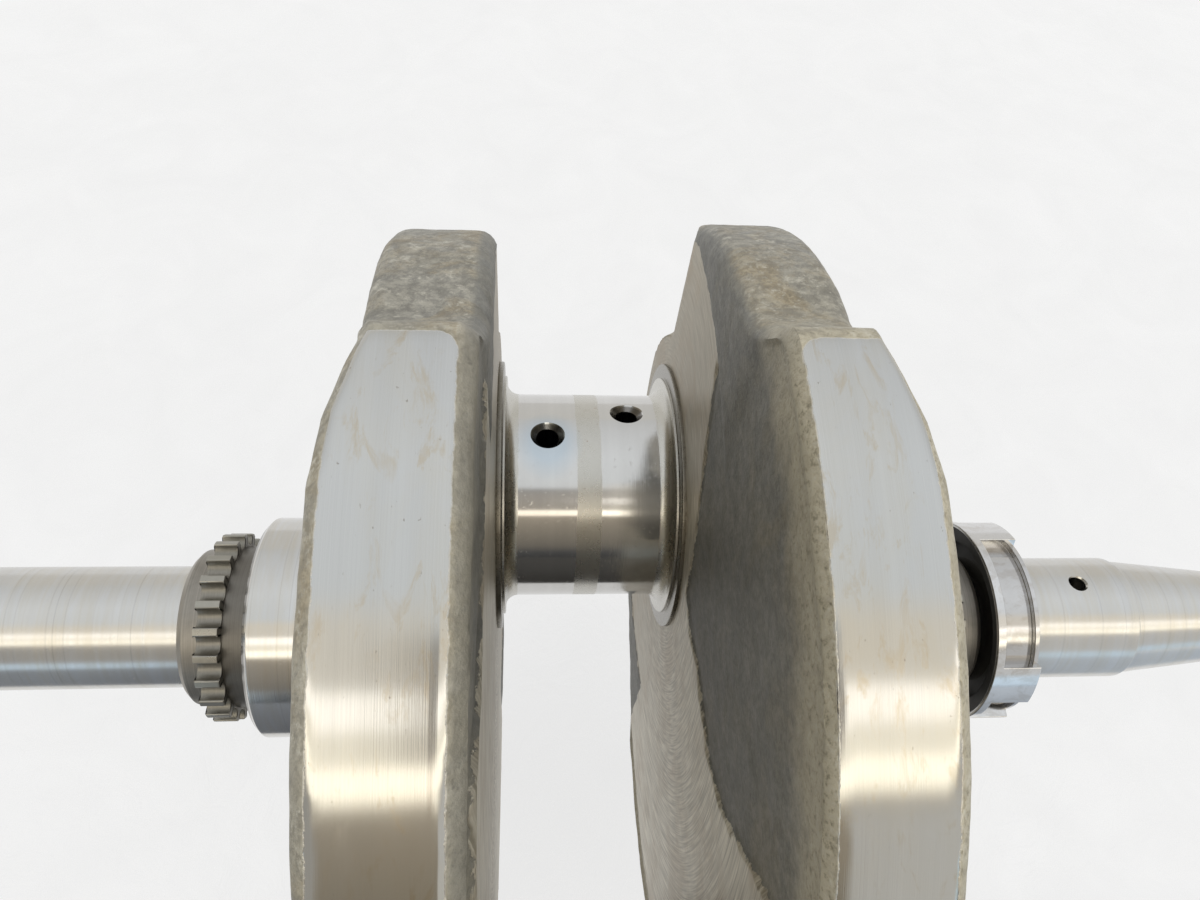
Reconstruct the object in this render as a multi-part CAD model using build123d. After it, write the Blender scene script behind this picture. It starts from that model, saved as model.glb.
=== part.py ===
from build123d import *
import math
import os

# One-piece forged crankshaft of a narrow V-twin engine: one crankpin, wide enough for two
# connecting rods side by side, between two flywheel webs. A cam-chain sprocket sits beside
# each main journal.
#
# Frame: the crank axis is X, with the generator taper at +X. The crankpin is at +Y.
# The origin is on the crank axis, half way along the crankpin. All sizes are millimetres.

# crankpin
throw = 34.3                # crank radius: half the stroke
pin_r = 25.0
pin_land = 16.0             # half the ground length of the pin
thrust_face = 18.9          # half the gap between the faces that guide the rods
thrust_flange_r = 29.5      # flange at each end of the pin that guides the rods
boss_face = 19.6            # half the gap between the low rings round the flanges
boss_r = 33.0
trap_r = 7.0                # oil space along the middle of the pin
trap_thread_r = 8.0
trap_thread_depth = 9.0
pin_oil_r = 2.6
pin_oil_chamfer = 1.4
pin_oil_lift = 0.15         # keeps the chamfer's cutter above the pin's curve
left_oil_x = -9.4           # oil hole for the left rod, and its turn from +Z towards +Y
left_oil_turn = 2.2
right_oil_x = 9.3
right_oil_turn = 19.3

# webs, with distances along X taken outwards from the middle of the pin
milled_r = 69.0             # rough facing round the pin, cut into the forged inner face
milled_depth = 0.5
flat_r = 62.0               # radius where the inner face starts to slope away
rim_r = 103.7               # turned rim of the counterweight
rim_corner = 3.7            # forged corner on each side of the rim, in radius
rim_end_y = -2.0            # where the turned rim stops
shoulder_turn = 12.0        # angle from Z towards the pin where the shoulder meets the nose
shoulder_sag = 2.2          # hollow of the shoulder, below the straight line across it
shoulder_foot = 0.5         # how far under the nose's surface the shoulder runs out
nose_corner = 4.0
nose_bevel_y = 57.0         # from here on the nose's inner face leans away from the rods
nose_bevel_rate = 0.32
nose_boss_r = 40.0          # full-thickness boss round the pin, which the bevel leaves standing
left_inner = 20.3            # unworked inner face, and how far it falls away towards the rim
left_slope = 0.7
left_rim_start = 23.6
left_rim_stop = 39.4
left_outer = 41.8
left_nose_r = 87.3
right_inner = 20.0
right_slope = 0.5
right_rim_start = 21.7
right_rim_stop = 36.9
right_outer = 39.6
right_nose_r = 90.0
side_ring_r = 31.0          # flat ring on the web, beside each main journal
side_ring_step = 0.8

# main journals and shafts
journal_r = 24.0
journal_end = 70.6
journal_chamfer = 1.2
journal_root = 2.0          # how far each journal runs into its web
seat_r = 14.5               # ground seat under the sprockets and the trigger ring
left_shaft_step = 1.3       # how far the left shaft lies below the seat, so the sprocket slides on
left_shaft_r = seat_r - left_shaft_step
seat_run_in = 0.5           # how far the smaller shaft reaches in under the sprocket
left_shaft_end = 146.0
shaft_chamfer = 0.8
drive_seat_r = 11.4
drive_seat_end = 164.0
drive_seat_chamfer = 0.6
drive_thread_r = 9.0
drive_thread_end = 180.0
right_shaft_step = 0.35     # the same for the right shaft, under the sprocket and the ring
right_shaft_r = seat_r - right_shaft_step
taper_start = 125.5
taper_r = 13.5              # large end of the taper
taper_relief = 0.4
taper_rate = 0.1            # fall in radius for each millimetre: a taper of 1 in 5
taper_length = 37.0
end_chamfer = 1.0
rotor_bolt_r = 5.1          # wall of the M12 thread in the taper's end
rotor_bolt_depth = 24.0
gallery_r = 2.5             # oil way along the right shaft
gallery_run_in = 14.0       # how far it reaches into the journal
gallery_feed_in = 12.0      # its feed from the journal's underside, from the journal's end
shaft_oil_x = 113.1
shaft_oil_turn = 10.0
shaft_oil_r = 1.9
feed_depth = 13.0           # how deep in the web it meets the pin's oil space
feed_r = 2.3                # slanting oil way from each main journal to the pin
feed_turn = -115.0          # where it leaves the journal, from +Z towards +Y
feed_mouth_x = 22.0         # how far outside the web it leaves the journal

# cam-chain sprockets
sprocket_teeth = 23
sprocket_tip_r = 20.5
roller_r = 1.95
roller_circle_r = 19.95
tooth_turn = -10.5          # angle of one tooth, from +Z towards +Y
sprocket_neck_r = 17.6
neck_width = 5.4
tooth_width = 4.9
tooth_corner = 0.35
collar_r = 16.9
left_collar_width = 4.8
right_collar_width = 5.8
collar_chamfer = 1.3

# trigger ring
ring_r = 23.1
ring_floor_r = 20.0
ring_back_r = 21.4
lip_width = 1.9
ring_width = 10.4
ring_back_width = 1.1
ring_dish_depth = 4.0
ring_dish_slope = 1.0        # how far the dish runs in before its wall is straight
ring_dish_wall = 0.9
ring_dish_wall_r = 18.8
ring_dish_floor_r = 17.6
ring_places = 7             # evenly spaced places for a tooth, one of them left empty
ring_tooth_angle = 26.0
ring_gap_turn = -12.0       # middle of the empty place, from +Z towards +Y

# small parts
clip_r = 15.6
clip_width = 1.5
clip_groove_depth = 1.0
clip_gap_angle = 40.0
dowel_r = 1.1
dowel_circle_r = 16.2
dowel_length = 6.0
ring_dowel_r = 0.7
ring_dowel_circle_r = 15.7
key_r = 6.5
key_width = 4.0
key_height = 1.6            # how far a key stands out of its shaft
rotor_key_x = 143.0
drive_key_x = -155.0
hex_across_flats = 8.0
hex_depth = 5.0
plug_recess = 0.6
plug_chamfer = 0.6
gallery_plug_length = 5.0
gallery_plug_recess = 0.3

past = 1.0                  # how far cutters and joined shapes run past a face

taper_end = taper_start + taper_length
ring_start = journal_end + neck_width + tooth_width + right_collar_width
ring_stop = ring_start + ring_width
clip_stop = ring_stop + clip_width


def turned(outline):
    """A solid turned about the crank axis, from (x, radius) corners."""
    return revolve(make_face(Polyline(*outline, close=True)), Axis.X)


def rod(x_start, x_stop, radius, y=0.0, z=0.0):
    """A round bar along X."""
    bar = Cylinder(radius, abs(x_stop - x_start), rotation=(0, 90, 0))
    return Pos((x_start + x_stop) / 2, y, z) * bar


def drilling(start, stop, radius):
    """A round hole's volume between two points."""
    start, stop = Vector(*start), Vector(*stop)
    length = (stop - start).length
    return Plane(origin=(start + stop) * 0.5, z_dir=stop - start) * Cylinder(radius, length)


def around(radius, turn):
    """Y and Z of a point at a radius, turned from +Z towards +Y."""
    angle = math.radians(turn)
    return radius * math.sin(angle), radius * math.cos(angle)


def on_left(shape):
    return mirror(shape, Plane.YZ)


def counterweight_outline(nose_r):
    """The counterweight half and its two hollow shoulders, seen along X."""
    rim_top = (rim_end_y, math.sqrt(rim_r**2 - rim_end_y**2))
    foot = around(nose_r - shoulder_foot, shoulder_turn)
    across = Vector(foot[0] - rim_top[0], foot[1] - rim_top[1])
    inward = Vector(across.Y, -across.X).normalized() * shoulder_sag
    hollow = ((rim_top[0] + foot[0]) / 2 + inward.X, (rim_top[1] + foot[1]) / 2 + inward.Y)

    def low(point):
        return (point[0], -point[1])

    edges = Polyline(low(foot), foot)
    edges += ThreePointArc(foot, hollow, rim_top)
    edges += ThreePointArc(rim_top, (-rim_r, 0), low(rim_top))
    edges += ThreePointArc(low(rim_top), low(hollow), low(foot))
    return Plane.YZ * make_face(edges)


def nose_bevel(inner, outer, nose_r):
    """The wedge taken off the nose's inner face, past the boss round the pin."""
    end = nose_r + past
    wedge = make_face(Polyline(
        (inner - past, nose_bevel_y), (inner, nose_bevel_y),
        (inner + nose_bevel_rate * (end - nose_bevel_y), end), (inner - past, end), close=True))
    return extrude(wedge, nose_r, both=True) - rod(0, outer, nose_boss_r, y=throw)


def web(inner, slope, rim_start, rim_stop, outer, nose_r):
    """One flywheel web, built on the +X side: counterweight, nose and pin boss."""
    corner_r = rim_r - rim_corner
    disc = turned([(inner, 0), (inner, flat_r), (inner + slope, corner_r), (rim_start, rim_r),
                   (rim_stop, rim_r), (outer, corner_r), (outer, 0)])
    weight = disc & extrude(counterweight_outline(nose_r), outer + past)
    section = make_face(Polyline((inner, 0), (inner, nose_r), (outer, nose_r), (outer, 0), close=True))
    section = fillet(section.vertices().group_by(Axis.Y)[-1], nose_corner)
    shape = weight + revolve(section, Axis.X)
    shape -= rod(0, inner + milled_depth, milled_r, y=throw)
    shape -= nose_bevel(inner, outer, nose_r)
    shape += rod(boss_face, inner + past, boss_r, y=throw)
    shape += rod(thrust_face, inner + past, thrust_flange_r, y=throw)
    return shape + rod(outer - past, outer + side_ring_step, side_ring_r)


def crankpin():
    """The ground pin, with a fillet at each end that runs into the thrust flange."""
    run = thrust_face - pin_land
    top = pin_r + run
    edges = Polyline((-thrust_face - past, top), (-thrust_face - past, 0), (thrust_face + past, 0),
                     (thrust_face + past, top), (thrust_face, top))
    edges += RadiusArc((thrust_face, top), (pin_land, pin_r), run)
    edges += Line((pin_land, pin_r), (-pin_land, pin_r))
    edges += RadiusArc((-pin_land, pin_r), (-thrust_face, top), run)
    edges += Line((-thrust_face, top), (-thrust_face - past, top))
    return Pos(0, throw, 0) * revolve(make_face(edges), Axis.X)


def left_shaft():
    """Main journal, sprocket seat, plain shaft, keyed seat and threaded end."""
    seat_end = journal_end + neck_width + tooth_width + left_collar_width
    return on_left(turned([
        (left_outer - journal_root, 0), (left_outer - journal_root, journal_r),
        (journal_end - journal_chamfer, journal_r), (journal_end, journal_r - journal_chamfer),
        (journal_end, seat_r), (seat_end - seat_run_in, seat_r), (seat_end - seat_run_in, left_shaft_r),
        (left_shaft_end - shaft_chamfer, left_shaft_r),
        (left_shaft_end, left_shaft_r - shaft_chamfer), (left_shaft_end, drive_seat_r),
        (drive_seat_end - drive_seat_chamfer, drive_seat_r),
        (drive_seat_end, drive_seat_r - drive_seat_chamfer), (drive_seat_end, drive_thread_r),
        (drive_thread_end - end_chamfer, drive_thread_r),
        (drive_thread_end, drive_thread_r - end_chamfer), (drive_thread_end, 0)]))


def right_shaft():
    """Main journal, seat for the sprocket and ring, parallel shaft and generator taper."""
    small_r = taper_r - taper_rate * taper_length
    shape = turned([
        (right_outer - journal_root, 0), (right_outer - journal_root, journal_r),
        (journal_end - journal_chamfer, journal_r), (journal_end, journal_r - journal_chamfer),
        (journal_end, seat_r), (ring_stop, seat_r), (ring_stop, seat_r - clip_groove_depth),
        (clip_stop, seat_r - clip_groove_depth), (clip_stop, right_shaft_r),
        (taper_start, right_shaft_r), (taper_start + taper_relief, taper_r),
        (taper_end - end_chamfer, small_r + taper_rate * end_chamfer),
        (taper_end, small_r - end_chamfer), (taper_end, 0)])
    shape -= rod(taper_end - rotor_bolt_depth, taper_end + past, rotor_bolt_r)
    shape -= rod(journal_end - gallery_run_in, taper_end, gallery_r)
    y, z = around(right_shaft_r + past, shaft_oil_turn)
    shape -= drilling((shaft_oil_x, 0, 0), (shaft_oil_x, y, z), shaft_oil_r)
    feed_x = journal_end - gallery_feed_in
    return shape - drilling((feed_x, 0, 0), (feed_x, 0, -journal_r - past), feed_r)


def pin_oil_hole(x, turn):
    """A radial hole from the pin's surface to the oil space, with a chamfered mouth."""
    y, z = around(pin_r + past, turn)
    hole = drilling((x, throw, 0), (x, throw + y, z), pin_oil_r)
    mouth_r = pin_oil_r + pin_oil_chamfer
    y, z = around(pin_r - pin_oil_chamfer / 2 + pin_oil_lift, turn)
    cone = Cone(pin_oil_r, mouth_r, pin_oil_chamfer)
    return hole + Plane(origin=(x, throw + y, z), z_dir=(0, y, z)) * cone


def feed_drilling(outer):
    """The slanting oil way, from the far side of a main journal to the oil space in the pin."""
    inner_end = (outer - feed_depth, throw, 0)
    y, z = around(journal_r + past, feed_turn)
    return drilling(inner_end, (outer + feed_mouth_x, y, z), feed_r)


def key_slot_shape(x, surface_r):
    """The half disc of a key, hanging below the shaft at -Z."""
    disc = Cylinder(key_r, key_width, rotation=(90, 0, 0))
    above = Pos(0, 0, key_r) * Box(4 * key_r, 4 * key_r, 2 * key_r)
    half = disc & above
    return Pos(x, 0, -surface_r - key_height) * half


def rotor_key():
    return key_slot_shape(rotor_key_x, taper_r - taper_rate * (rotor_key_x - taper_start))


def drive_key():
    return key_slot_shape(drive_key_x, drive_seat_r)


def dowel(x, radius, circle_r):
    return rod(x - dowel_length / 2, x + dowel_length / 2, radius, z=-circle_r)


def trap_plug(outer):
    """Threaded plug with a hexagon socket, closing one end of the pin's oil space."""
    start, stop = outer - trap_thread_depth, outer - plug_recess
    plug = chamfer(rod(start, stop, trap_thread_r, y=throw).edges().filter_by(GeomType.CIRCLE), plug_chamfer)
    socket = extrude(RegularPolygon(hex_across_flats / 2, 6, major_radius=False), hex_depth + past)
    return plug - Plane(origin=(stop - hex_depth, throw, 0), z_dir=(1, 0, 0)) * socket


def gallery_plug():
    stop = taper_end - rotor_bolt_depth
    return rod(stop - gallery_plug_length, stop - gallery_plug_recess, gallery_r)


def crank_forging():
    shape = on_left(web(left_inner, left_slope, left_rim_start, left_rim_stop, left_outer, left_nose_r))
    shape += web(right_inner, right_slope, right_rim_start, right_rim_stop, right_outer, right_nose_r)
    shape += crankpin()
    shape += left_shaft()
    shape += right_shaft()
    for outer, flip in ((left_outer, on_left), (right_outer, lambda same: same)):
        shape -= flip(rod(0, outer + past, trap_r, y=throw))
        shape -= flip(rod(outer - trap_thread_depth, outer + past, trap_thread_r, y=throw))
        shape -= flip(feed_drilling(outer))
    shape -= pin_oil_hole(left_oil_x, left_oil_turn)
    shape -= pin_oil_hole(right_oil_x, right_oil_turn)
    for hole in (rotor_key(), drive_key(), dowel(-journal_end, dowel_r, dowel_circle_r),
                 dowel(journal_end, dowel_r, dowel_circle_r)):
        shape -= hole
    return shape


def tooth_wheel():
    """The sprocket's toothed outline: a disc with a round gap for each chain roller."""
    wheel = Circle(sprocket_tip_r)
    for place in range(sprocket_teeth):
        y, z = around(roller_circle_r, tooth_turn + (place + 0.5) * 360 / sprocket_teeth)
        wheel -= Pos(y, z) * Circle(roller_r)
    return wheel


def sprocket(collar_width):
    """Sprocket built on the +X side: neck against the journal, teeth, then a collar."""
    teeth_start = journal_end + neck_width
    teeth_stop = teeth_start + tooth_width
    collar_stop = teeth_stop + collar_width
    shape = Plane.YZ.offset(teeth_start) * extrude(tooth_wheel(), tooth_width)
    shape &= turned([(teeth_start, 0), (teeth_start, sprocket_tip_r - tooth_corner),
                     (teeth_start + tooth_corner, sprocket_tip_r),
                     (teeth_stop - tooth_corner, sprocket_tip_r),
                     (teeth_stop, sprocket_tip_r - tooth_corner), (teeth_stop, 0)])
    shape += rod(journal_end, teeth_start + past, sprocket_neck_r)
    shape += turned([(teeth_stop - past, 0), (teeth_stop - past, collar_r),
                     (collar_stop - collar_chamfer, collar_r),
                     (collar_stop, collar_r - collar_chamfer), (collar_stop, 0)])
    return shape - rod(journal_end - past, collar_stop + past, seat_r)


def left_cam_sprocket():
    return on_left(sprocket(left_collar_width)) - dowel(-journal_end, dowel_r, dowel_circle_r)


def right_cam_sprocket():
    shape = sprocket(right_collar_width) - dowel(journal_end, dowel_r, dowel_circle_r)
    return shape - dowel(ring_start, ring_dowel_r, ring_dowel_circle_r)


def trigger_ring():
    """Ring with a full lip, raised teeth and a narrow back flange; its front face is dished."""
    floor_start = ring_start + lip_width
    floor_stop = ring_stop - ring_back_width
    recess = turned([
        (floor_start, ring_floor_r), (floor_start, ring_r + past), (ring_stop + past, ring_r + past),
        (ring_stop + past, ring_back_r), (floor_stop, ring_back_r), (floor_stop, ring_floor_r)])
    half_places = ring_places // 2
    for step in range(-half_places, half_places + 1):
        if step == 0:
            continue
        middle = ring_gap_turn + step * 360 / ring_places
        corners = [around(2 * ring_r, middle + side * ring_tooth_angle / 2) for side in (-1, 1)]
        wedge = extrude(make_face(Polyline((0, 0), *corners, close=True)), ring_width + past)
        recess -= Plane.YZ.offset(ring_start) * wedge
    shape = rod(ring_start, ring_stop, ring_r) - recess
    shape -= turned([(ring_start - past, ring_dish_floor_r), (ring_start - past, ring_r - ring_dish_wall),
                     (ring_start, ring_r - ring_dish_wall),
                     (ring_start + ring_dish_slope, ring_dish_wall_r),
                     (ring_start + ring_dish_depth, ring_dish_wall_r),
                     (ring_start + ring_dish_depth, ring_dish_floor_r)])
    shape -= rod(ring_start - past, ring_stop + past, seat_r)
    return shape - dowel(ring_start, ring_dowel_r, ring_dowel_circle_r)


def retaining_clip():
    """Open spring ring in the groove behind the trigger ring."""
    bore = rod(ring_stop - past, clip_stop + past, seat_r - clip_groove_depth)
    ring = rod(ring_stop, clip_stop, clip_r) - bore
    corners = [around(2 * clip_r, 180 + side * clip_gap_angle / 2) for side in (-1, 1)]
    gap = extrude(make_face(Polyline((0, 0), *corners, close=True)), clip_width + 2 * past)
    return ring - Plane.YZ.offset(ring_stop - past) * gap


parts = {
    "crank_forging": crank_forging(),
    "left_cam_sprocket": left_cam_sprocket(),
    "right_cam_sprocket": right_cam_sprocket(),
    "trigger_ring": trigger_ring(),
    "retaining_clip": retaining_clip(),
    "left_sprocket_dowel": dowel(-journal_end, dowel_r, dowel_circle_r),
    "right_sprocket_dowel": dowel(journal_end, dowel_r, dowel_circle_r),
    "trigger_ring_dowel": dowel(ring_start, ring_dowel_r, ring_dowel_circle_r),
    "left_trap_plug": on_left(trap_plug(left_outer)),
    "right_trap_plug": trap_plug(right_outer),
    "shaft_gallery_plug": gallery_plug(),
    "rotor_key": rotor_key(),
    "drive_key": drive_key(),
}

os.makedirs("parts", exist_ok=True)
for name, shape in parts.items():
    export_step(shape, f"parts/{name}.step")
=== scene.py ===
import bmesh
import bpy
import math
import numpy as np
from mathutils import Matrix, Vector, noise


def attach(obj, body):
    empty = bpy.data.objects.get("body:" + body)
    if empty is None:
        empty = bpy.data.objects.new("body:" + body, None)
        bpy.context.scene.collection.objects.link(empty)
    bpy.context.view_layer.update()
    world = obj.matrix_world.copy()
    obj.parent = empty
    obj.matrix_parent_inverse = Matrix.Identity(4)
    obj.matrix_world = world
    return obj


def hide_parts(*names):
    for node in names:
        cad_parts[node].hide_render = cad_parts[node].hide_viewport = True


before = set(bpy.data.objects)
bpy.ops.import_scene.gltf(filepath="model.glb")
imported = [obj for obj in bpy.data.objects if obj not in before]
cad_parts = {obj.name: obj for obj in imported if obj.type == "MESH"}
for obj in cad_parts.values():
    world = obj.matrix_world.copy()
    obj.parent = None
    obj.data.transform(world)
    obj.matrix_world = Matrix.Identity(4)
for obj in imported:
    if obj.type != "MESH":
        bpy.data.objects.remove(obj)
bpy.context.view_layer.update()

# ---- Crankpin ----
# The pin is ground all over and runs into a thrust flange and a low ring on each web. It is
# steel, forged in one with the webs. Two drilled oil holes feed the two rods, and a narrow strip
# between the rods is left matt.
MM = 0.001
THROW = 34.3
PIN_R = 25.0
PIN_LAND = 16.0
THRUST_FACE = 18.9
FLANGE_R = 29.5
BOSS_FACE = 19.6
BOSS_R = 33.0
PIN_FILLET = THRUST_FACE - PIN_LAND
PIN_OIL_R = 2.6
PIN_OIL_CHAMFER = 1.4
PIN_SEATING = 1.3
PIN_CORNER = 0.35
PIN_STEPS = 192
STRIP_HALF_WIDTH = 2.75
CUT_PAST = 3.0
PIN_OIL_HOLES = ((-9.4, 2.2), (9.3, 19.3))


def eased(outline, size, steps=3):
    """The same (x, radius) outline with its inner corners rounded by the size given."""
    points = [Vector(point) for point in outline]
    rounded = [points[0]]
    for before, corner, after in zip(points, points[1:], points[2:]):
        reach = min(size, (before - corner).length * 0.45, (after - corner).length * 0.45)
        start = corner + (before - corner).normalized() * reach
        stop = corner + (after - corner).normalized() * reach
        for step in range(steps + 1):
            t = step / steps
            rounded.append(start * (1 - t) ** 2 + corner * 2 * t * (1 - t) + stop * t * t)
    return [tuple(point) for point in rounded + [points[-1]]]


def turned(outline, steps, centre_y=0.0, pitch=0.0):
    """A bmesh spun from an (x, radius) outline about a line along X, in metres."""
    bm = bmesh.new()
    rail = [bm.verts.new((x * MM, centre_y * MM, radius * MM)) for x, radius in outline]
    edges = [bm.edges.new(pair) for pair in zip(rail, rail[1:])]
    bmesh.ops.spin(bm, geom=rail + edges, cent=(0, centre_y * MM, 0), axis=(1, 0, 0),
                   dvec=(pitch * MM / steps, 0, 0), angle=math.tau, steps=steps,
                   use_merge=pitch == 0.0)
    bmesh.ops.remove_doubles(bm, verts=bm.verts, dist=2e-6)
    bmesh.ops.recalc_face_normals(bm, faces=bm.faces)
    return bm


def piece(name, bm, sharp=28.0, weighted=True):
    """A finished object made of a bmesh, with its edges kept crisp above the angle given."""
    mesh = bpy.data.meshes.new(name)
    bm.to_mesh(mesh)
    bm.free()
    mesh.shade_smooth()
    mesh.set_sharp_from_angle(angle=math.radians(sharp))
    obj = bpy.data.objects.new(name, mesh)
    bpy.context.scene.collection.objects.link(obj)
    if weighted:
        even = obj.modifiers.new("even_shading", "WEIGHTED_NORMAL")
        even.keep_sharp = True
    return obj


def round_shading(obj, centre_y=0.0):
    """Shading normals of the turned faces made to lie straight out from the turning axis."""
    seen = obj.evaluated_get(bpy.context.evaluated_depsgraph_get())
    mesh = bpy.data.meshes.new_from_object(seen)
    obj.modifiers.clear()
    obj.data = mesh
    normals = np.zeros(len(mesh.loops) * 3)
    mesh.corner_normals.foreach_get("vector", normals)
    normals = normals.reshape(-1, 3)
    places = np.array([vert.co for vert in mesh.vertices])
    owners = np.zeros(len(mesh.loops), int)
    mesh.loops.foreach_get("vertex_index", owners)
    counts = [polygon.loop_total for polygon in mesh.polygons]
    facing = np.repeat(np.array([polygon.normal for polygon in mesh.polygons]), counts, axis=0)
    middles = np.repeat(np.array([polygon.center for polygon in mesh.polygons]), counts, axis=0)

    def sideways(points):
        out = points[:, 1:] - np.array([centre_y * MM, 0.0])
        out /= np.maximum(np.linalg.norm(out, axis=1, keepdims=True), 1e-9)
        return np.stack([np.zeros(len(out)), -out[:, 1], out[:, 0]], axis=1)

    on_turned = np.abs(np.sum(facing * sideways(middles), axis=1)) < 0.05
    along = sideways(places[owners])
    straight = normals - np.sum(normals * along, axis=1, keepdims=True) * along
    normals = np.where(on_turned[:, None], straight, normals)
    mesh.normals_split_custom_set((normals / np.linalg.norm(normals, axis=1, keepdims=True)).tolist())
    return obj


def drilled(bm, cutters):
    """The bmesh with closed cutter bmeshes taken away from it."""
    body = bpy.data.meshes.new("body")
    bm.to_mesh(body)
    bm.free()
    blank = bpy.data.objects.new("blank", body)
    bpy.context.scene.collection.objects.link(blank)
    tools = []
    for cutter in cutters:
        shape = bpy.data.meshes.new("cutter")
        cutter.to_mesh(shape)
        cutter.free()
        tool = bpy.data.objects.new("cutter", shape)
        bpy.context.scene.collection.objects.link(tool)
        cut = blank.modifiers.new("cut", "BOOLEAN")
        cut.operation = "DIFFERENCE"
        cut.solver = "MANIFOLD"
        cut.object = tool
        tools.append(tool)
    bpy.context.view_layer.update()
    seen = blank.evaluated_get(bpy.context.evaluated_depsgraph_get())
    result = bmesh.new()
    result.from_mesh(bpy.data.meshes.new_from_object(seen))
    for used in tools + [blank]:
        bpy.data.objects.remove(used)
    return result


def drill(start, direction, outline, steps=48):
    """A closed cutter spun from (depth, radius) pairs along a direction from a start point."""
    bm = turned(outline, steps)
    turn = Vector((1, 0, 0)).rotation_difference(Vector(direction)).to_matrix().to_4x4()
    bmesh.ops.transform(bm, matrix=Matrix.Translation(Vector(start) * MM) @ turn, verts=bm.verts)
    return bm


def around(radius, turn):
    """Y and Z at a radius, turned from +Z towards +Y by degrees."""
    return radius * math.sin(math.radians(turn)), radius * math.cos(math.radians(turn))


class Wire:
    """A value on its way between shader nodes, so that a mask can be written as a sum."""

    def __init__(self, finish, socket):
        self.finish = finish
        self.socket = socket

    def math(self, operation, *values):
        return self.finish.node("ShaderNodeMath", {"operation": operation}, values)

    def __add__(self, other):
        return self.math("ADD", self, other)

    __radd__ = __add__

    def __sub__(self, other):
        return self.math("SUBTRACT", self, other)

    def __rsub__(self, other):
        return self.math("SUBTRACT", other, self)

    def __mul__(self, other):
        return self.math("MULTIPLY", self, other)

    __rmul__ = __mul__

    def __truediv__(self, other):
        return self.math("DIVIDE", self, other)

    def __abs__(self):
        return self.math("ABSOLUTE", self)

    def root(self):
        return self.math("SQRT", self)

    def least(self, other):
        return self.math("MINIMUM", self, other)

    def most(self, other):
        return self.math("MAXIMUM", self, other)

    def clamped(self):
        return self.finish.node("ShaderNodeClamp", {}, [self, 0.0, 1.0])

    def step(self, width):
        """0 below zero and 1 above, over a soft width."""
        return (self / width + 0.5).clamped()


class Nodes:
    """A node tree that is filled by writing out what each node does."""

    def __init__(self, owner):
        owner.use_nodes = True
        self.tree = owner.node_tree
        self.tree.nodes.clear()

    def node(self, kind, settings, sockets, output=0):
        made = self.tree.nodes.new(kind)
        for setting, value in settings.items():
            if setting == "stops":
                ramp = made.color_ramp.elements
                ramp[0].position, ramp[0].color = value[0]
                ramp[1].position, ramp[1].color = value[-1]
                for position, color in value[1:-1]:
                    ramp.new(position).color = color
            else:
                setattr(made, setting, value)
        pairs = sockets.items() if isinstance(sockets, dict) else enumerate(sockets)
        for key, value in pairs:
            if isinstance(value, Wire):
                self.tree.links.new(value.socket, made.inputs[key])
            else:
                made.inputs[key].default_value = value
        return Wire(self, made.outputs[output])

    def mixed(self, factor, first, second):
        """Two colours blended by the factor, each a link or plain red, green and blue."""
        first, second = (tone + (1.0,) if isinstance(tone, tuple) else tone for tone in (first, second))
        return self.node("ShaderNodeMix", {"data_type": "RGBA"}, {0: factor, 6: first, 7: second}, 2)


class Finish(Nodes):
    """A material whose patterns are laid out in the piece's own millimetres."""

    def __init__(self, name, **constants):
        self.material = bpy.data.materials.new(name)
        super().__init__(self.material)
        self.shader = self.tree.nodes.new("ShaderNodeBsdfPrincipled")
        output = self.tree.nodes.new("ShaderNodeOutputMaterial")
        self.tree.links.new(self.shader.outputs[0], output.inputs[0])
        for socket, value in constants.items():
            self.shader.inputs[socket.replace("_", " ")].default_value = value
        self.place = self.node("ShaderNodeTexCoord", {}, {}, output="Object")
        self.x, self.y, self.z = (self.coordinate(axis) * 1000.0 for axis in range(3))
        self.radius = (self.y * self.y + self.z * self.z).root()

    def coordinate(self, axis):
        return self.node("ShaderNodeSeparateXYZ", {}, [self.place], output=axis)

    def noise(self, size, detail=3.0, rough=0.55, bend=0.0, shift=0.0):
        """Noise from 0 to 1 whose features are about as many millimetres as size says."""
        sizes = size if isinstance(size, tuple) else (size,) * 3
        spread = self.node("ShaderNodeMapping", {}, {
            "Vector": self.place, "Location": (shift, shift * 0.7, -shift),
            "Scale": tuple(1000.0 / s for s in sizes)})
        return self.node("ShaderNodeTexNoise", {}, {
            "Vector": spread, "Scale": 1.0, "Detail": detail, "Roughness": rough, "Distortion": bend})

    def rings(self, size, detail=2.0, along=None):
        """Noise that changes with one value only, such as lines left by a tool."""
        value = self.x if along is None else along
        spot = self.node("ShaderNodeCombineXYZ", {}, [value / size, 0.0, 0.0])
        return self.node("ShaderNodeTexNoise", {}, {"Vector": spot, "Scale": 1.0, "Detail": detail})

    def blend(self, factor, first, second):
        return first + (second - first) * factor

    def set(self, color=None, roughness=None, metallic=None, height=None, distance=0.1):
        for socket, value in (("Base Color", color), ("Roughness", roughness), ("Metallic", metallic)):
            if value is not None:
                self.tree.links.new(value.socket, self.shader.inputs[socket])
        if height is not None:
            bump = self.node("ShaderNodeBump", {}, {
                "Strength": 1.0, "Distance": distance * MM, "Height": height}, output=0)
            self.tree.links.new(bump.socket, self.shader.inputs["Normal"])
        return self.material


def dress(obj, material):
    """The material, slot and body that every new piece gets."""
    obj.data.materials.clear()
    obj.data.materials.append(material)
    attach(obj, "root")


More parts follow.
